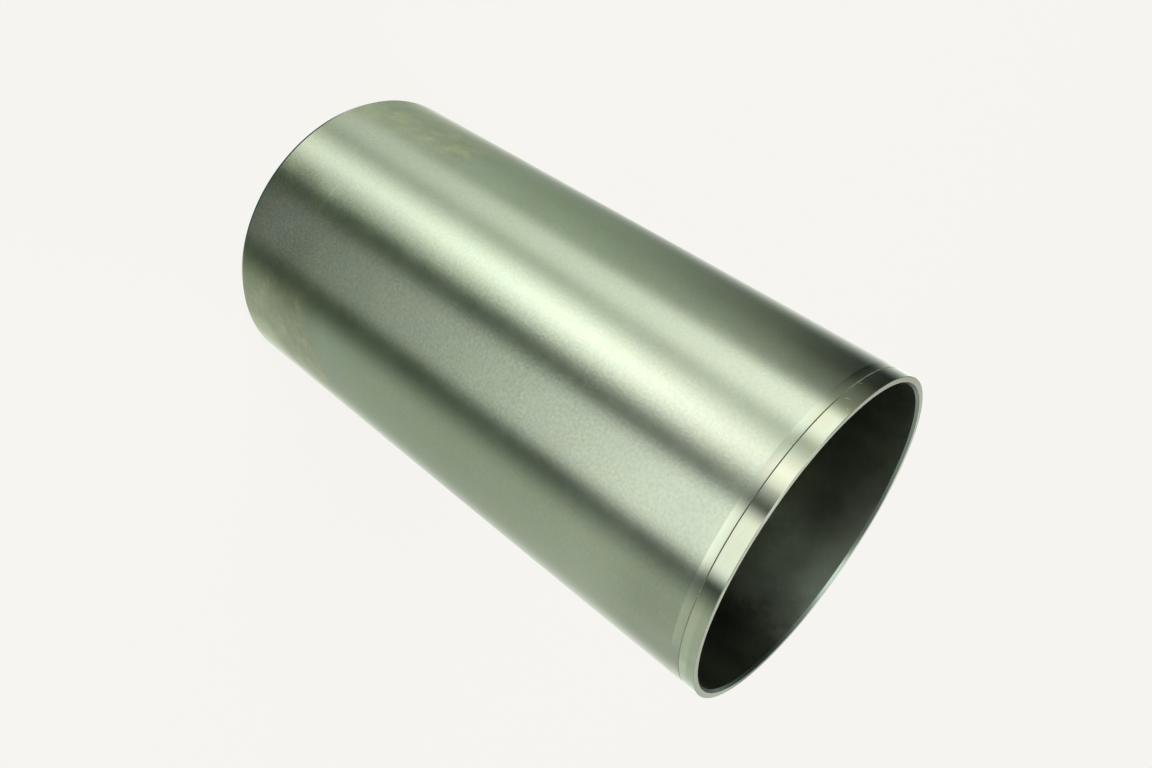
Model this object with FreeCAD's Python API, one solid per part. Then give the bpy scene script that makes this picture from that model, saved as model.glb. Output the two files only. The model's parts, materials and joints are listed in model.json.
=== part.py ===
import FreeCAD, Part

import math
import os

# Dry cylinder liner of a diesel engine: one thin iron tube, turned and ground all over.
# Millimetres. The origin is the centre of the lower end, and +Z runs up the bore
# to the mouth, which carries the locating band.

# Bore and wall
bore_diameter = 98.4
wall_thickness = 2.4
liner_length = 195.3

# Locating band at the mouth, with the fine groove and the relief strip below it
band_width = 4.8
groove_width = 0.36
groove_depth = 0.17
relief_width = 2.5
relief_depth = 0.08

# Mouth edges: a lead-in cone for the piston rings, and a rounded outer edge
mouth_cone_radial = 0.7
mouth_cone_length = 0.77
mouth_edge_radius = 0.15

# Lower end edges: a slow cone that enters the block first, and a small cone in the bore
skirt_taper_radial = 0.5
skirt_taper_length = 1.2
skirt_cone_radial = 0.5
skirt_cone_length = 0.5

bore_radius = bore_diameter / 2
outer_radius = bore_radius + wall_thickness
relief_radius = outer_radius - relief_depth

# Heights along the outside, from the mouth downwards
band_foot = liner_length - band_width
groove_foot = band_foot - groove_width
body_top = groove_foot - relief_width


def point(radius, height):
    """A point of the half section, which lies in the XZ plane."""
    return FreeCAD.Vector(radius, 0, height)


def line(start, end):
    """A straight edge of the half section."""
    return Part.LineSegment(start, end).toShape()


def quarter_round(start, end, corner, radius):
    """The arc that rounds a square corner between two points, one radius from it each."""
    centre = start + end - corner
    middle = centre + (corner - centre).normalize() * radius
    return Part.Arc(start, middle, end).toShape()


def slow_arc(start, end, depth, width):
    """The arc that leaves its start along the axis and has come out by the depth at its end."""
    radius = (width ** 2 + depth ** 2) / (2 * depth)
    half_turn = math.asin(width / radius) / 2
    centre = start + FreeCAD.Vector(radius, 0, 0)
    middle = centre - FreeCAD.Vector(math.cos(half_turn), 0, math.sin(half_turn)) * radius
    return Part.Arc(start, middle, end).toShape()


def mouth_edges():
    """From the bore up over the cone, the end land and the rounded edge to the band."""
    bore_top = point(bore_radius, liner_length - mouth_cone_length)
    cone_top = point(bore_radius + mouth_cone_radial, liner_length)
    land_rim = point(outer_radius - mouth_edge_radius, liner_length)
    band_top = point(outer_radius, liner_length - mouth_edge_radius)
    corner = point(outer_radius, liner_length)
    return [
        line(bore_top, cone_top),
        line(cone_top, land_rim),
        quarter_round(land_rim, band_top, corner, mouth_edge_radius),
        line(band_top, point(outer_radius, band_foot)),
    ]


def groove_edges():
    """The round-bottomed groove under the band, which ends on the relief strip."""
    groove_top = point(outer_radius, band_foot)
    bottom = point(relief_radius - groove_depth, band_foot - groove_width / 2)
    strip_top = point(relief_radius, groove_foot)
    return [Part.Arc(groove_top, bottom, strip_top).toShape()]


def outside_edges():
    """The hollow relief strip, the long body and the entry taper."""
    strip_top = point(relief_radius, groove_foot)
    full_size = point(outer_radius, body_top)
    taper_top = point(outer_radius, skirt_taper_length)
    taper_foot = point(outer_radius - skirt_taper_radial, 0)
    return [
        slow_arc(strip_top, full_size, relief_depth, relief_width),
        line(full_size, taper_top),
        line(taper_top, taper_foot),
    ]


def inside_edges():
    """The lower end land, its bore cone and the bore wall, back up to the mouth."""
    taper_foot = point(outer_radius - skirt_taper_radial, 0)
    cone_foot = point(bore_radius + skirt_cone_radial, 0)
    bore_foot = point(bore_radius, skirt_cone_length)
    bore_top = point(bore_radius, liner_length - mouth_cone_length)
    return [
        line(taper_foot, cone_foot),
        line(cone_foot, bore_foot),
        line(bore_foot, bore_top),
    ]


def cylinder_liner():
    """The half section turned once round the bore axis."""
    edges = mouth_edges() + groove_edges() + outside_edges() + inside_edges()
    section = Part.Face(Part.Wire(edges))
    turned = section.revolve(point(0, 0), FreeCAD.Vector(0, 0, 1), 360)
    solid = turned.Solids[0]
    return solid.removeSplitter()


def save(name, shape):
    """Write one piece to its own file, and say what it measures."""
    shape.exportStep(os.path.join("parts", name + ".step"))
    box = shape.optimalBoundingBox()
    size = " x ".join(f"{length:.2f}" for length in (box.XLength, box.YLength, box.ZLength))
    print(name, size, "mm,", f"{shape.Volume / 1000:.2f} cm3,", "valid:", shape.isValid())


os.makedirs("parts", exist_ok=True)
save("cylinder_liner", cylinder_liner())
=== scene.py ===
import json
import math

import bmesh
import bpy
from mathutils import Matrix, Vector


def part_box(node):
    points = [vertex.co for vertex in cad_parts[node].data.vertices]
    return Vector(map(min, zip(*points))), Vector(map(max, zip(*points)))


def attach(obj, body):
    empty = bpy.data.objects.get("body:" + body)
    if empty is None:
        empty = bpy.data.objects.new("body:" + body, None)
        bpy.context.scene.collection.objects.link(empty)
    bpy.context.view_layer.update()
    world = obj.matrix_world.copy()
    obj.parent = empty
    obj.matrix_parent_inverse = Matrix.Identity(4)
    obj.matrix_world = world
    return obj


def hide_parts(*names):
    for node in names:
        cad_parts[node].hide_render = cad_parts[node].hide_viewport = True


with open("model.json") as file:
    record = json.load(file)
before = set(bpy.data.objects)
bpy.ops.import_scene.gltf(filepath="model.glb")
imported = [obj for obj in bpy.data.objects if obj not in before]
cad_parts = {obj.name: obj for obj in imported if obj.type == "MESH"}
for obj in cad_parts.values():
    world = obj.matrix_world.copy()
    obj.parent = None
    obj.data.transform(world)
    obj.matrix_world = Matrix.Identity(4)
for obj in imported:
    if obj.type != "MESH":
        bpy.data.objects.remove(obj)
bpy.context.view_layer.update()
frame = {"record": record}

mm = 0.001
linerNode = "cylinder_liner"
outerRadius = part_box(linerNode)[1].x
degreeArc = math.radians(1) * outerRadius / mm        # mm round the outside for each degree of bearing


# Node trees: a wire takes part in sums, and one method makes every node

class Wire:
    def __init__(self, sheet, socket):
        self.sheet = sheet
        self.socket = socket

    def __add__(self, other):
        return self.sheet.maths("ADD", self, other)

    def __sub__(self, other):
        return self.sheet.maths("SUBTRACT", self, other)

    def __rsub__(self, other):
        return self.sheet.maths("SUBTRACT", other, self)

    def __mul__(self, other):
        return self.sheet.maths("MULTIPLY", self, other)

    def __truediv__(self, other):
        return self.sheet.maths("DIVIDE", self, other)

    def __pow__(self, other):
        return self.sheet.maths("POWER", self, other)

    __radd__ = __add__
    __rmul__ = __mul__


class Made:                   # a node that has been made: its outputs are wires
    def __init__(self, sheet, node):
        self.sheet = sheet
        self.node = node

    def __getitem__(self, key):
        return Wire(self.sheet, pickSocket(self.node.outputs, key))


class Sheet:
    def __init__(self, tree):
        self.tree = tree

    def node(self, kind, settings=None, sockets=None):
        node = self.tree.nodes.new(kind)
        for name, value in (settings or {}).items():
            setattr(node, name, value)
        for key, value in (sockets or {}).items():
            socket = pickSocket(node.inputs, key)
            for one in value if isinstance(value, list) else [value]:
                if isinstance(one, Wire):
                    self.tree.links.new(one.socket, socket)
                else:
                    socket.default_value = one
        return Made(self, node)

    def maths(self, operation, *values):
        return self.node("ShaderNodeMath", {"operation": operation}, dict(enumerate(values)))[0]

    def mixColour(self, factor, first, second):
        first, second = [one if isinstance(one, Wire) else (*one, 1) for one in (first, second)]
        sockets = {"Factor": factor, "A": first, "B": second}
        return self.node("ShaderNodeMix", {"data_type": "RGBA"}, sockets)["Result"]

    def scaled(self, colour, amount):
        sockets = {0: colour, "Scale": amount}
        return self.node("ShaderNodeVectorMath", {"operation": "SCALE"}, sockets)["Vector"]

    def ramp(self, value, low, high, atLow=0.0, atHigh=1.0):      # a smooth step from low to high
        sockets = {"Value": value, "From Min": low, "From Max": high, "To Min": atLow, "To Max": atHigh}
        return self.node("ShaderNodeMapRange", {"interpolation_type": "SMOOTHSTEP"}, sockets)["Result"]

    def window(self, value, middle, half, edge):      # 1 within half of the middle, with soft edges
        away = self.maths("ABSOLUTE", value - middle)
        return self.ramp(away, half + edge / 2, half - edge / 2)

    def places(self, bearing, height, rows):          # soft places on the round, added up
        total = 0.0
        for across, upwards, share in rows:
            if upwards:
                fade = self.window if len(upwards) == 3 else self.ramp
                share = fade(height, *upwards) * share
            total = self.window(bearing, *across) * share + total
        return total

    def noise(self, place, scale, detail, rough):
        sockets = {"Vector": place, "Scale": scale, "Detail": detail, "Roughness": rough}
        return self.node("ShaderNodeTexNoise", None, sockets)["Fac"]

    def apart(self, vector):
        parts = self.node("ShaderNodeSeparateXYZ", None, {"Vector": vector})
        return parts["X"], parts["Y"], parts["Z"]

    def together(self, x, y, z):
        return self.node("ShaderNodeCombineXYZ", None, {"X": x, "Y": y, "Z": z})["Vector"]

    def radius(self, vector):                         # the distance from the bore's axis
        x, y = self.apart(vector)[:2]
        return (x * x + y * y) ** 0.5

    def height(self, vector):                         # in mm
        return self.apart(vector)[2] / mm

    def bearing(self, vector):                        # in degrees round the bore, 0 towards the camera
        x, y = self.apart(vector)[:2]
        return self.maths("ARCTAN2", x, 0.0 - y) * math.degrees(1)


def pickSocket(sockets, key):
    if isinstance(key, int):
        return sockets[key]
    return next(socket for socket in sockets if socket.name == key and socket.enabled)


def sway(noise, amount):      # a noise's swing to both sides of its middle
    return (noise - 0.5) * amount


# Finishes: iron that is ground outside, turned at the ends and honed in the bore.
# A noise is its scale per metre, detail and roughness. A soft place is its bearing, half width
# and edge, then its height, half height and edge, or where it starts and is full, or None for
# all heights, and its share. Bearings are in degrees and heights in mm.

def newFinish(name):          # a material, the sheet for its nodes, and the point on the object
    material = bpy.data.materials.new(name)
    material.use_nodes = True
    material.node_tree.nodes.clear()
    sheet = Sheet(material.node_tree)
    return material, sheet, sheet.node("ShaderNodeTexCoord")["Object"]


def closeFinish(sheet, sockets):
    shader = sheet.node("ShaderNodeBsdfPrincipled", None, {"Metallic": 1.0, **sockets})
    sheet.node("ShaderNodeOutputMaterial", None, {"Surface": shader["BSDF"]})


def bumped(sheet, height, depth):
    return sheet.node("ShaderNodeBump", None, {"Height": height, "Distance": depth})["Normal"]


def turnedLines(sheet, place, spread, across):        # fine lines that run round the liner
    x, y = sheet.apart(place)[:2]
    return sheet.noise(sheet.together(x * spread, y * spread, across), 1.0, 3.0, 0.7)


def stroke(sheet, bearing, z, mark):                  # a short scratch: 1 on it, 0 off it
    atBearing, atHeight, length, slant, width = mark
    aside = (bearing - atBearing) * degreeArc
    up = z - atHeight
    turn = math.radians(slant)
    along = aside * math.cos(turn) + up * math.sin(turn)
    across = up * math.cos(turn) - aside * math.sin(turn)
    return sheet.window(along, 0.0, length / 2, length / 3) * sheet.window(across, 0.0, width / 2, width)


groundOutside = {
    "colour": (0.457, 0.55, 0.4),
    "mouthColour": (0.478, 0.55, 0.417),
    "mouthBlend": (90, 175),            # the heights where the one becomes the other
    "hueSwing": (0.007, 0.0, -0.009),
    "roughness": 0.205,
    "grain": (1200, 2.0, 0.6),          # a grain is about half a millimetre
    "cloud": (55, 3.0, 0.55),
    "fleck": (230, 3.0, 0.6),
    "smudge": (140, 4.0, 0.65),
    "blot": (85, 4.0, 0.6),
    "hue": (170, 1.0, 0.5),
    "grainDepth": 0.009 * mm,
    "grainTone": (0.18, 0.47),          # over most of the round, and in the coarse strip
    "grainStrip": [((9, 18, 14), (110, 180, 1.0, 0.45), 1.0)],         # weaker towards the mouth
    "lowEnd": (50, 15),                 # the grain grows stronger from the first height to the second
    "lowEndGrain": (0.3, 0.5),          # by these shares, over most of the round and in the strip
    "cloudTone": 0.1,
    "stains": [((-60, 20, 10), (57, 47), 1.0), ((50, 20, 8), (38, 33), 1.0)],
    "stainStep": (44, 54, 0.0, 8.0),    # from bearing 44 to 54 the stain's top rises by 8 mm
    "blotches": [                       # bearing, height and reach
        (-49, 43, 6), (-57, 36, 4), (-48, 30, 4), (-50, 11, 5), (46, 27, 5), (38, 14, 4),
    ],
    "greyPlaces": [((13, 12, 12), (32, 14), 1.0)],
    "coolPlaces": [((45, 11, 10), (48, 8, 12), 1.0), ((-47, 8, 8), (48, 8, 12), 1.0)],
    "washes": {                         # colour and strength, laid on in this order
        "grey": ((0.47, 0.55, 0.418), 0.85),
        "cool": ((0.443, 0.55, 0.43), 0.7),
        "stain": ((0.489, 0.54, 0.355), 0.7),
        "blotch": ((0.575, 0.615, 0.385), 0.8),
        "warm": ((0.48, 0.55, 0.37), 0.6),
    },
    "shades": [                         # painted highlight and shade: lighter and darker places; the first two are a lighter patch with a bright line in it
        ((-3, 5, 6), (24.5, 4.5, 4), 0.14),
        ((-3, 5, 6), (26, 0.5, 1.3), 0.18),
        ((-6, 3, 6), (12, 5, 7), -0.15),
        ((38, 8, 10), (29, 12, 8), -0.13),
        ((20, 6, 8), (25, 8, 10), -0.1),
        ((54, 18, 12), (155, 178), -0.13),
        ((61, 5, 8), (155, 178), -0.09),
        ((-48, 13, 8), (164, 181), -0.17),
        ((29, 23, 10), (165, 182), -0.07),
    ],
    "raggedShades": [                   # the same painted highlight and shade, with a ragged top
        ((63, 7, 8), (24, 10), 0.42),
        ((-72, 5, 8), (36, 24), 0.12),
    ],
}


def groundFinish():
    look = groundOutside
    material, sheet, place = newFinish("groundIron")
    z, bearing = sheet.height(place), sheet.bearing(place)
    names = ("grain", "cloud", "fleck", "smudge", "blot", "hue")
    grain, cloud, fleck, smudge, blot, hue = [sheet.noise(place, *look[name]) for name in names]

    # olive stains on the two sides of the lower end, blotched; a grey patch between them, a cool
    # one above each, and a warm foot
    ragged = z + sway(cloud, 16) + sway(smudge, 7)
    stain = sheet.places(bearing, ragged - sheet.ramp(bearing, *look["stainStep"]), look["stains"])
    blotch = sheet.ramp(blot, 0.5, 0.6) * 0.7
    for atBearing, atHeight, reach in look["blotches"]:
        aside = (bearing - atBearing) * degreeArc
        up = z - atHeight
        away = (aside * aside + up * up) ** 0.5
        blotch = sheet.maths("MAXIMUM", blotch, sheet.ramp(away, reach * 1.3, reach * 0.5))
    masks = {
        "grey": sheet.places(bearing, ragged, look["greyPlaces"]),
        "cool": sheet.places(bearing, ragged, look["coolPlaces"]),
        "stain": stain,
        "blotch": stain * blotch * sheet.ramp(smudge, 0.46, 0.54),
        "warm": sheet.ramp(z + sway(smudge, 10), 13, 1),
    }
    colour = sheet.mixColour(sheet.ramp(z, *look["mouthBlend"]), look["colour"], look["mouthColour"])
    sockets = {0: colour, 1: look["hueSwing"]}
    warmer = sheet.node("ShaderNodeVectorMath", {"operation": "ADD"}, sockets)["Vector"]
    colour = sheet.mixColour(sheet.ramp(hue, 0.42, 0.58), colour, warmer)
    for name, (wash, strength) in look["washes"].items():
        colour = sheet.mixColour(masks[name] * strength, colour, wash)

    # lightness: the grain, coarsest in one strip and stronger at the lower end, clouds, and the painted
    # highlights and shades
    lowEnd = sheet.ramp(z, *look["lowEnd"])
    fine, coarse = [
        tone * (1.0 + more * lowEnd) for tone, more in zip(look["grainTone"], look["lowEndGrain"])
    ]
    strip = sheet.places(bearing, z, look["grainStrip"])
    grainTone = (fine + (coarse - fine) * strip) * (0.4 + 1.2 * fleck)
    tone = 1.0 + sway(grain, grainTone) + sway(cloud, look["cloudTone"]) + sway(smudge, stain * 0.5)
    tone = tone + sheet.places(bearing, z, look["shades"])
    tone = tone + sheet.places(bearing, ragged, look["raggedShades"])
    closeFinish(sheet, {
        "Base Color": sheet.scaled(colour, tone),
        "Roughness": look["roughness"] + sway(fleck, 0.06) + sway(cloud, 0.05) + stain * 0.03,
        "Normal": bumped(sheet, grain, look["grainDepth"]),
    })
    return material


turnedRings = {
    "reliefStrip": {
        "colour": (0.467, 0.535, 0.412),
        "otherColour": (0.482, 0.53, 0.392),
        "roughness": 0.17,
        "pitch": 0.2,                   # mm from line to line
        "depth": 0.005 * mm,
        "nicks": [],
        # a painted shade at one bearing
        "shades": [((59, 6, 9), None, -0.2)],
    },
    "locatingBand": {
        "colour": (0.474, 0.55, 0.42),
        "otherColour": (0.51, 0.55, 0.395),
        "roughness": 0.115,
        "pitch": 0.25,
        "depth": 0.0008 * mm,
        "nicks": [                      # bearing, height, length, slant in degrees, and width
            (-39.5, 192.1, 1.4, 120, 0.14),
            (-48.0, 191.0, 1.0, 110, 0.12),
            (-36.0, 194.0, 0.6, 60, 0.08),
        ],
        "shades": [                     # painted highlight on one side, less towards the mouth's edge, and a painted shade at one bearing on the other side
            ((50, 14, 10), None, 0.12),
            ((60, 3, 7), None, 0.2),
            ((60, 5, 10), (192.3, 193.3), -0.18),
            ((44, 20, 10), (192.3, 193.3), -0.12),
            ((-79, 5, 6), None, -0.14),
        ],
    },
}
nickColour = (0.95, 0.98, 0.9)
chip = (-27.2, 190.35, 0.5, 30, 0.45)   # as the nicks, but dark, and across the groove
chipColour = (0.2, 0.22, 0.18)


def turnedFinish(name):
    look = turnedRings[name]
    material, sheet, place = newFinish(name)
    z, bearing = sheet.height(place), sheet.bearing(place)
    lines = turnedLines(sheet, place, 220, z / look["pitch"])
    cloud = sheet.noise(place, 110, 3.0, 0.6)
    hue = sheet.ramp(sheet.noise(place, 75, 3.0, 0.6), 0.38, 0.62)
    colour = sheet.mixColour(hue, look["colour"], look["otherColour"])
    colour = sheet.scaled(colour, 1.0 + sway(lines, 0.16) + sway(cloud, 0.18))
    rough = look["roughness"] + sway(lines, 0.05) + sway(cloud, 0.04)
    for mark in look["nicks"]:
        share = stroke(sheet, bearing, z, mark)
        colour = sheet.mixColour(share * 0.5, colour, nickColour)
        rough = rough + share * 0.3
    # the painted highlight and shade, by bearing
    colour = sheet.scaled(colour, 1.0 + sheet.places(bearing, z, look["shades"]))
    colour = sheet.mixColour(stroke(sheet, bearing, z, chip), colour, chipColour)
    closeFinish(sheet, {
        "Base Color": colour,
        "Roughness": rough,
        "Normal": bumped(sheet, lines, look["depth"]),
    })
    return material


stopGroove = {
    "colour": (0.56, 0.62, 0.48),
    "grimeColour": (0.1, 0.115, 0.085),
    "grimeDepth": (0.16, 0.23),         # mm below the band: painted shade in the groove's bottom
    "grimeFront": (-7, 32, 22),         # bearing, half width and edge of where the painted shade is darkest
    "grimeElsewhere": 0.25,
    "roughness": 0.55,
}


def grooveFinish():
    look = stopGroove
    material, sheet, place = newFinish("stopGroove")
    specks = sheet.noise(place, 300, 3.0, 0.6)
    depth = outerRadius / mm - sheet.radius(place) / mm
    front = sheet.window(sheet.bearing(place) + sway(specks, 30), *look["grimeFront"])
    least = look["grimeElsewhere"]
    # painted shade: the groove's bottom darkened, most towards the front
    grooveShade = (least + (1 - least) * front) * sheet.ramp(depth, *look["grimeDepth"])
    colour = sheet.mixColour(grooveShade, look["colour"], look["grimeColour"])
    closeFinish(sheet, {
        "Base Color": sheet.scaled(colour, 1.0 + sway(specks, 0.5)),
        "Roughness": look["roughness"],
    })
    return material


acrossLines = 0.25            # quarter of a turn: the shine spreads across the lines
turnedEnds = {
    "turnedEnd": {
        "colour": (0.58, 0.62, 0.5),
        "roughness": 0.36,
        "spread": 0.6,
        "pitch": 0.12,
        "depth": 0.0012 * mm,
        "oiled": [((135, 24, 16), 0.85), ((-160, 9, 20), 0.7)],
    },
    "mouthCone": {
        "colour": (0.455, 0.525, 0.435),
        "roughness": 0.24,
        "spread": 0.4,
        "pitch": 0.1,
        "depth": 0.0008 * mm,
        "oiled": [((112, 32, 12), 0.18), ((127, 7, 12), 0.35)],
    },
}
# painted shade: dark teal patches on the land and the mouth's cone
paintedShadeColour = (0.12, 0.19, 0.17)


def endFinish(name):
    look = turnedEnds[name]
    material, sheet, place = newFinish(name)
    lines = turnedLines(sheet, place, 60, sheet.radius(place) / mm / look["pitch"])
    colour = look["colour"]
    # the painted shade, laid on at these bearings
    for across, share in look["oiled"]:
        colour = sheet.mixColour(sheet.window(sheet.bearing(place), *across) * share, colour, paintedShadeColour)
    closeFinish(sheet, {
        "Base Color": sheet.scaled(colour, 1.0 + sway(lines, 0.16)),
        "Roughness": look["roughness"] + sway(lines, 0.06),
        "Anisotropic": look["spread"],
        "Anisotropic Rotation": acrossLines,
        "Normal": bumped(sheet, lines, look["depth"]),
    })
    return material


honedWall = {
    "colour": (0.29, 0.311, 0.233),
    "roughness": 0.34,
    "spread": 0.35,
    "cloud": (75, 4.0, 0.65),
    "lines": (1300, 2.0, 0.6),
    "lineStretch": 0.02,      # along each line
    "twist": 36.0,            # radians a metre: the lines cross at about 60 degrees
    "depth": 0.0012 * mm,
    # painted reflection: darker and lighter stretches near the mouth
    "shades": [
        ((132, 14, 14), (178, 40, 12), -0.42),
        ((165, 9, 14), (192, 8, 12), 0.3),
        ((191, 14, 14), (169, 6, 12), 0.4),
        ((200, 10, 14), (192, 6, 12), -0.15),
    ],
}


def honedFinish():
    look = honedWall
    material, sheet, place = newFinish("honedBore")
    z = sheet.height(place)
    cloud = sheet.noise(place, *look["cloud"])
    hatch = 0.0
    for hand in (1, -1):
        sockets = {"Vector": place, "Angle": z * (hand * look["twist"] * mm)}
        turned = sheet.node("ShaderNodeVectorRotate", {"rotation_type": "Z_AXIS"}, sockets)["Vector"]
        sockets = {"Vector": turned, "Scale": (1, 1, look["lineStretch"])}
        drawn = sheet.node("ShaderNodeMapping", None, sockets)["Vector"]
        hatch = sheet.noise(drawn, *look["lines"]) * 0.5 + hatch
    ragged = sheet.maths("WRAP", sheet.bearing(place), 0.0, 360.0) + sway(cloud, 24)
    # tone: clouds, the hatch and the painted reflection
    tone = 1.0 + sway(cloud, 0.7) + sway(hatch, 0.3) + sheet.places(ragged, z, look["shades"])
    closeFinish(sheet, {
        "Base Color": sheet.scaled(look["colour"], tone),
        "Roughness": look["roughness"] + sway(cloud, 0.12),
        "Anisotropic": look["spread"],
        "Anisotropic Rotation": acrossLines,
        "Normal": bumped(sheet, hatch, look["depth"]),
    })
    return material


finishes = {
    "groundIron": groundFinish(),
    "reliefStrip": turnedFinish("reliefStrip"),
    "stopGroove": grooveFinish(),
    "locatingBand": turnedFinish("locatingBand"),
    "turnedEnd": endFinish("turnedEnd"),
    "mouthCone": endFinish("mouthCone"),
    "honedBore": honedFinish(),
}
print("finishes made:", ", ".join(finishes))


# The liner: one half section swept round the bore

mounts = {mount["name"]: mount for mount in frame["record"]["mounts"]}
linerForm = {
    "Outer Radius": outerRadius,
    "Bore Radius": mounts["bore"]["dims"]["r_mm"] * mm,
    "Height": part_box(linerNode)[1].z,
    "Band Width": 4.8 * mm,
    "Groove Width": 0.36 * mm,
    "Groove Depth": 0.17 * mm,
    "Relief Width": 2.5 * mm,
    "Relief Depth": 0.08 * mm,
    "Mouth Cone Reach": 0.7 * mm,
    "Mouth Cone Rise": 0.77 * mm,
    "Mouth Edge Radius": 0.15 * mm,
    "Skirt Taper Reach": 0.5 * mm,
    "Skirt Taper Rise": 1.2 * mm,
    "Skirt Cone Reach": 0.5 * mm,
    "Skirt Cone Rise": 0.5 * mm,
}
linerMesh = {
    "turns": 720,             # facets round the liner
    "arcSteps": 14,
    "sharpAngle": math.radians(2),
    "merge": 0.0005 * mm,
    "hair": 0.001 * mm,       # the slack of a test for which zone a face is in
    "outsideFrom": 1.0 * mm,  # from the bore's wall
}


def sweepTree(finishes):
    tree = bpy.data.node_groups.new("turnedLiner", "GeometryNodeTree")
    tree.interface.new_socket("Geometry", in_out="OUTPUT", socket_type="NodeSocketGeometry")
    for name in linerForm:
        tree.interface.new_socket(name, in_out="INPUT", socket_type="NodeSocketFloat")
    sheet = Sheet(tree)
    given = sheet.node("NodeGroupInput")
    outer, bore, height = given["Outer Radius"], given["Bore Radius"], given["Height"]
    bandFoot = height - given["Band Width"]
    grooveFoot = bandFoot - given["Groove Width"]
    bodyTop = grooveFoot - given["Relief Width"]
    relief = outer - given["Relief Depth"]
    edge = given["Mouth Edge Radius"]
    edgeInset = edge * (1 - math.sqrt(0.5))           # of the middle of the rounded edge
    taperRise = given["Skirt Taper Rise"]

    def spot(radius, up):                             # a point of the half section, from the bore's wall
        return sheet.together(radius - bore, 0.0 - up, 0.0)

    def line(start, end):
        return sheet.node("GeometryNodeCurvePrimitiveLine", None, {"Start": start, "End": end})["Curve"]

    def arc(start, middle, end):
        sockets = {"Resolution": linerMesh["arcSteps"], "Start": start, "Middle": middle, "End": end}
        return sheet.node("GeometryNodeCurveArc", {"mode": "POINTS"}, sockets)["Curve"]

    boreTop = spot(bore, height - given["Mouth Cone Rise"])
    coneTop = spot(bore + given["Mouth Cone Reach"], height)
    landRim = spot(outer - edge, height)
    edgeMiddle = spot(outer - edgeInset, height - edgeInset)
    bandTop = spot(outer, height - edge)
    grooveTop = spot(outer, bandFoot)
    grooveBottom = spot(relief - given["Groove Depth"], bandFoot - given["Groove Width"] * 0.5)
    stripTop = spot(relief, grooveFoot)
    # halfway down its width, the strip's slow arc has come out by a quarter of its depth
    stripMiddle = spot(relief + given["Relief Depth"] * 0.25, grooveFoot - given["Relief Width"] * 0.5)
    fullSize = spot(outer, bodyTop)
    taperTop = spot(outer, taperRise)
    taperFoot = spot(outer - given["Skirt Taper Reach"], 0.0)
    coneFoot = spot(bore + given["Skirt Cone Reach"], 0.0)
    boreFoot = spot(bore, given["Skirt Cone Rise"])
    section = [
        line(boreTop, coneTop), line(coneTop, landRim), arc(landRim, edgeMiddle, bandTop),
        line(bandTop, grooveTop), arc(grooveTop, grooveBottom, stripTop),
        arc(stripTop, stripMiddle, fullSize), line(fullSize, taperTop), line(taperTop, taperFoot),
        line(taperFoot, coneFoot), line(coneFoot, boreFoot), line(boreFoot, boreTop),
    ]
    profile = sheet.node("GeometryNodeJoinGeometry", None, {"Geometry": section})["Geometry"]
    sockets = {"Resolution": linerMesh["turns"], "Radius": bore}
    ring = sheet.node("GeometryNodeCurvePrimitiveCircle", {"mode": "RADIUS"}, sockets)["Curve"]
    ring = sheet.node("GeometryNodeSetCurveNormal", {"mode": "Z_UP"}, {"Curve": ring})["Curve"]
    sockets = {"Curve": ring, "Profile Curve": profile}
    swept = sheet.node("GeometryNodeCurveToMesh", None, sockets)["Mesh"]
    sockets = {"Geometry": swept, "Distance": linerMesh["merge"]}
    closed = sheet.node("GeometryNodeMergeByDistance", None, sockets)["Geometry"]

    position = sheet.node("GeometryNodeInputPosition")["Position"]
    z = sheet.apart(position)[2]
    radius = sheet.radius(position)

    def above(value, limit):
        sockets = {"A": value, "B": limit}
        return sheet.node("FunctionNodeCompare", {"operation": "GREATER_THAN"}, sockets)["Result"]

    def logic(operation, first, second):
        sockets = {0: first, 1: second}
        return sheet.node("FunctionNodeBooleanMath", {"operation": operation}, sockets)["Boolean"]

    def between(low, value, high):
        return logic("AND", above(value, low), above(high, value))

    def shaded(geometry, domain, smooth, selection=True):
        sockets = {"Geometry": geometry, "Selection": selection, "Shade Smooth": smooth}
        return sheet.node("GeometryNodeSetShadeSmooth", {"domain": domain}, sockets)["Geometry"]

    # smooth all round, with the section's real corners kept sharp
    hair = linerMesh["hair"]
    outside = above(radius, bore + linerMesh["outsideFrom"])
    inMouthEdge = between(height - edge + hair, z, height - hair)
    inGroove = between(grooveFoot + hair, z, bandFoot - hair)
    inArc = logic("AND", outside, logic("OR", inMouthEdge, inGroove))
    angle = sheet.node("GeometryNodeInputMeshEdgeAngle")["Unsigned Angle"]
    corner = logic("NIMPLY", above(angle, linerMesh["sharpAngle"]), inArc)
    crisp = shaded(shaded(closed, "FACE", True), "EDGE", False, corner)

    # a later zone is laid over an earlier one; the first is what the others leave
    whole = sheet.node("GeometryNodeRealizeInstances", None, {"Geometry": crisp})["Geometry"]
    strips = logic("OR", between(bodyTop, z, grooveFoot), between(hair, z, taperRise))
    inCone = between(bore + hair, radius, bore + given["Mouth Cone Reach"] - hair)
    zones = {
        "turnedEnd": True,
        "groundIron": logic("AND", outside, between(taperRise, z, bodyTop)),
        "reliefStrip": logic("AND", outside, strips),
        "stopGroove": logic("AND", outside, between(grooveFoot, z, bandFoot)),
        "locatingBand": logic("AND", outside, between(bandFoot, z, height - edge)),
        "mouthCone": logic("AND", inCone, above(z, bodyTop)),
        "honedBore": above(bore + hair, radius),
    }
    for name, zone in zones.items():
        sockets = {"Geometry": whole, "Material": finishes[name], "Selection": zone}
        whole = sheet.node("GeometryNodeSetMaterial", None, sockets)["Geometry"]
    sheet.node("NodeGroupOutput", None, {"Geometry": whole})
    return tree


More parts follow.
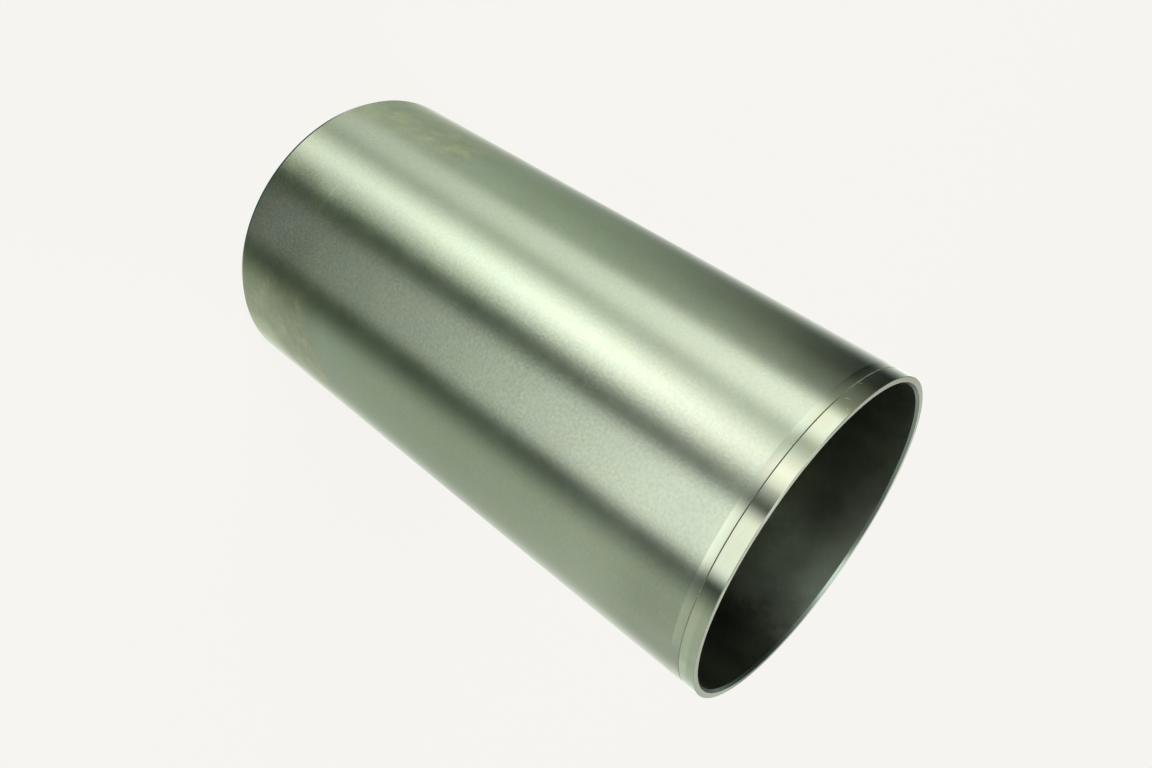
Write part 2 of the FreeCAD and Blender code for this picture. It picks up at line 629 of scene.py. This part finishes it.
def plainMesh(tree, name, values):
    holder = bpy.data.objects.new(name + "Maker", bpy.data.meshes.new(name + "Maker"))
    bpy.context.scene.collection.objects.link(holder)
    modifier = holder.modifiers.new(name, "NODES")
    modifier.node_group = tree
    for socket in tree.interface.items_tree:
        if socket.in_out == "INPUT":
            modifier[socket.identifier] = values[socket.name]
    depsgraph = bpy.context.evaluated_depsgraph_get()
    mesh = bpy.data.meshes.new_from_object(holder.evaluated_get(depsgraph), depsgraph=depsgraph)
    mesh.name = name
    bpy.data.objects.remove(holder)
    return mesh


linerShell = plainMesh(sweepTree(finishes), "liner", linerForm)
liner = bpy.data.objects.new("liner", linerShell)
bpy.context.scene.collection.objects.link(liner)
check = bmesh.new()
check.from_mesh(linerShell)
print("liner made:", len(check.faces), "faces,", round(check.calc_volume(signed=True) * 1e6, 2), "cm3,",
      sum(not one.is_manifold for one in check.edges), "open edges")
check.free()
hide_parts(linerNode)
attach(liner, "root")


# The studio: soft upright panels all round, seen in the metal, and a pale floor

backColour = (0.922, 0.905, 0.871)
# bearing and spread in degrees; light at 15, 30 and 45 degrees below level; lean is how far a
# panel goes sideways for each degree up
panels = [
    {"bearing": -52.4, "spread": 40.1, "edge": 4, "lean": -0.09,
     "light": (0.655, 0.46, 0.39), "tint": (0.945, 1, 0.895)},
    {"bearing": -61.6, "spread": 12.9, "edge": 15.1, "lean": 0.36,
     "light": (1.65, 1.21, 0.84), "tint": (1.02, 1, 1.02)},
    {"bearing": -22.1, "spread": 10.8, "edge": 30.8, "lean": 0.42,
     "light": (1.78, 2.47, 1.64), "tint": (1.055, 1, 1.055)},
    {"bearing": 27.8, "spread": 21.7, "edge": 14.0, "lean": -0.04,
     "light": (1.57, 0.79, 0.26), "tint": (1.01, 1, 1.035)},
    {"bearing": -96.4, "spread": 18.9, "edge": 20.2, "lean": 0.24,
     "light": (0.29, 0.47, 0.57), "tint": (0.94, 1, 0.91)},
    {"bearing": -114.4, "spread": 17.5, "edge": 31.8, "lean": 0.42,
     "light": (0.04, 0.36, 0.46), "tint": (0.9, 1, 0.86)},
    {"bearing": 111.2, "spread": 45.1, "edge": 28.5, "lean": -0.39,
     "light": (0.63, 0.5, 0.5), "tint": (0.96, 1, 0.92)},
    {"bearing": 182.2, "spread": 27.2, "edge": 47.7, "lean": 0.03,
     "light": (1.52, 1.08, 1.6), "tint": (0.995, 1, 0.97)},
]
overhead = [                  # the same above the level; start is the rise where a panel begins
    {"bearing": 62, "spread": 32, "edge": 20, "light": 0.19, "tint": (0.92, 1, 1)},
    {"bearing": -70, "spread": 20, "edge": 20, "light": 0.35, "tint": (0.9, 1, 1)},
    {"bearing": -176, "spread": 16, "edge": 16, "light": 0.14, "tint": (0.92, 1, 0.95)},
    {"bearing": 180, "spread": 16, "edge": 12, "light": 1.2, "tint": (1, 1, 0.95), "start": 15},
    {"bearing": -120, "spread": 32, "edge": 34, "light": 0.06, "tint": (0.75, 1, 0.95)},
    {"bearing": -24, "spread": 30, "edge": 16, "light": 1.5, "tint": (0.9, 1, 1.03)},
]
skylight = {"light": 0.37, "tint": (0.92, 1, 1)}
skyEdge = (1, 12)             # the degrees above level over which all that begins
dips = [                      # it begins lower where the mouth's far cone and the bore look
    {"bearing": 180, "spread": 30, "edge": 20, "drop": 10},
    {"bearing": -24, "spread": 22, "edge": 16, "drop": 8},
]
gapLight = {"high": (0.007, 0.028, 0.03), "low": (0.052, 0.067, 0.045)}       # 15 and 45 degrees below
leastLight = 0.01             # of a panel
nadir = {"colour": (0.02, 0.085, 0.095), "edge": (-56, -68)}                  # straight below


def studioWorld():
    world = bpy.data.worlds.new("studio")
    bpy.context.scene.world = world
    world.use_nodes = True
    world.node_tree.nodes.clear()
    sheet = Sheet(world.node_tree)
    direction = sheet.node("ShaderNodeTexCoord")["Generated"]
    bearing = sheet.bearing(direction)
    rise = sheet.maths("ARCSINE", sheet.apart(direction)[2]) * math.degrees(1)

    def inside(panel, centre):
        away = sheet.maths("ABSOLUTE", sheet.maths("WRAP", bearing - centre, -180.0, 180.0))
        return sheet.ramp(away, panel["spread"] + panel["edge"] / 2, panel["spread"] - panel["edge"] / 2)

    def lit(panel):
        return tuple(panel["light"] * part for part in panel["tint"])

    def ruled(start, end, most=1.0):          # 0 where the rise is start, 1 where it is end, on to most
        share = sheet.maths("MAXIMUM", (rise - start) / (end - start), 0.0)
        return sheet.maths("MINIMUM", share, most)

    light = sheet.mixColour(ruled(-15, -45), gapLight["high"], gapLight["low"])
    for panel in panels:
        top, middle, low = panel["light"]
        strength = top + (middle - top) * ruled(-15, -30) + (low - middle) * ruled(-30, -45, 1.4)
        strength = sheet.maths("MAXIMUM", strength + (top - middle) * ruled(-15, 0), leastLight)
        centre = (rise + 15) * panel["lean"] + panel["bearing"]
        light = sheet.mixColour(inside(panel, centre), light, sheet.scaled(panel["tint"], strength))
    light = sheet.mixColour(sheet.ramp(rise, *nadir["edge"]), light, nadir["colour"])
    above = lit(skylight)
    for panel in overhead:
        share = inside(panel, panel["bearing"])
        if "start" in panel:
            share = share * sheet.ramp(rise, panel["start"] - 3, panel["start"] + 3)
        above = sheet.mixColour(share, above, lit(panel))
    dropped = rise + sum(dip["drop"] * inside(dip, dip["bearing"]) for dip in dips)
    light = sheet.mixColour(sheet.ramp(dropped, *skyEdge), light, above)
    seen = sheet.node("ShaderNodeLightPath")["Is Camera Ray"]
    sockets = {"Color": sheet.mixColour(seen, light, backColour), "Strength": 1.0}
    shown = sheet.node("ShaderNodeBackground", None, sockets)
    sheet.node("ShaderNodeOutputWorld", None, {"Surface": shown["Background"]})


floorLook = {
    "side": 4.0,              # half of it
    "below": 0.2 * mm,        # the liner's foot
    "shadow": 0.14,           # share of the floor's colour that a shadow can take away
    "shadowReach": (1.2, 0.3),          # none beyond the first distance, all within the second
    "daylight": 0.5,          # the light on the open floor, which the rest makes up for
}


def paleFloor():
    side, below = floorLook["side"], -floorLook["below"]
    corners = [(-side, -side, below), (side, -side, below), (side, side, below), (-side, side, below)]
    mesh = bpy.data.meshes.new("floor")
    mesh.from_pydata(corners, [], [(0, 1, 2, 3)])
    floor = bpy.data.objects.new("floor", mesh)
    bpy.context.scene.collection.objects.link(floor)
    material, sheet, place = newFinish("paleFloor")
    share = sheet.ramp(sheet.radius(place), *floorLook["shadowReach"], 0.0, floorLook["shadow"])
    colour = (*backColour, 1)
    lit = sheet.node("ShaderNodeBsdfDiffuse", None, {"Color": colour})["BSDF"]
    strength = (1.0 - share * floorLook["daylight"]) / (1.0 - share)
    pale = sheet.node("ShaderNodeEmission", None, {"Color": colour, "Strength": strength})["Emission"]
    shaded = sheet.node("ShaderNodeMixShader", None, {0: 1.0 - share, 1: lit, 2: pale})[0]
    paths = sheet.node("ShaderNodeLightPath")
    through = sheet.maths("MAXIMUM", paths["Is Glossy Ray"], paths["Is Shadow Ray"])
    clear = sheet.node("ShaderNodeBsdfTransparent")["BSDF"]
    surface = sheet.node("ShaderNodeMixShader", None, {0: through, 1: shaded, 2: clear})[0]
    sheet.node("ShaderNodeOutputMaterial", None, {"Surface": surface})
    mesh.materials.append(material)


studioWorld()
paleFloor()
print("studio made")


# The camera, where the photograph was taken from

photoCamera = {
    "height": 259.9 * mm,     # above the liner's lower end
    "distance": 278.8 * mm,   # from its axis
    "swing": 0.232,           # degrees, to the right of the axis
    "tilt": -28.80,
    "roll": -124.33,
    "lens": 31.65,            # mm
    "sensor": 36.0,           # mm wide
    "clip": (0.01, 50.0),
}


def placeCamera():
    data = bpy.data.cameras.new("camera")
    camera = bpy.data.objects.new("camera", data)
    bpy.context.scene.collection.objects.link(camera)
    bpy.context.scene.camera = camera
    data.sensor_width = photoCamera["sensor"]
    data.lens = photoCamera["lens"]
    data.clip_start, data.clip_end = photoCamera["clip"]
    swing, tilt, roll = [math.radians(photoCamera[key]) for key in ("swing", "tilt", "roll")]
    ahead = Vector((math.sin(swing) * math.cos(tilt), math.cos(swing) * math.cos(tilt), math.sin(tilt)))
    levelRight = ahead.cross(Vector((0, 0, 1))).normalized()
    levelUp = levelRight.cross(ahead)
    up = levelUp * math.cos(roll) + levelRight * math.sin(roll)
    right = ahead.cross(up)
    turned = Matrix((right, up, -ahead)).transposed().to_4x4()
    place = Matrix.Translation((0, -photoCamera["distance"], photoCamera["height"]))
    camera.matrix_world = place @ turned


placeCamera()
bpy.context.scene.view_settings.view_transform = "Standard"
bpy.context.view_layer.update()
print("camera placed")
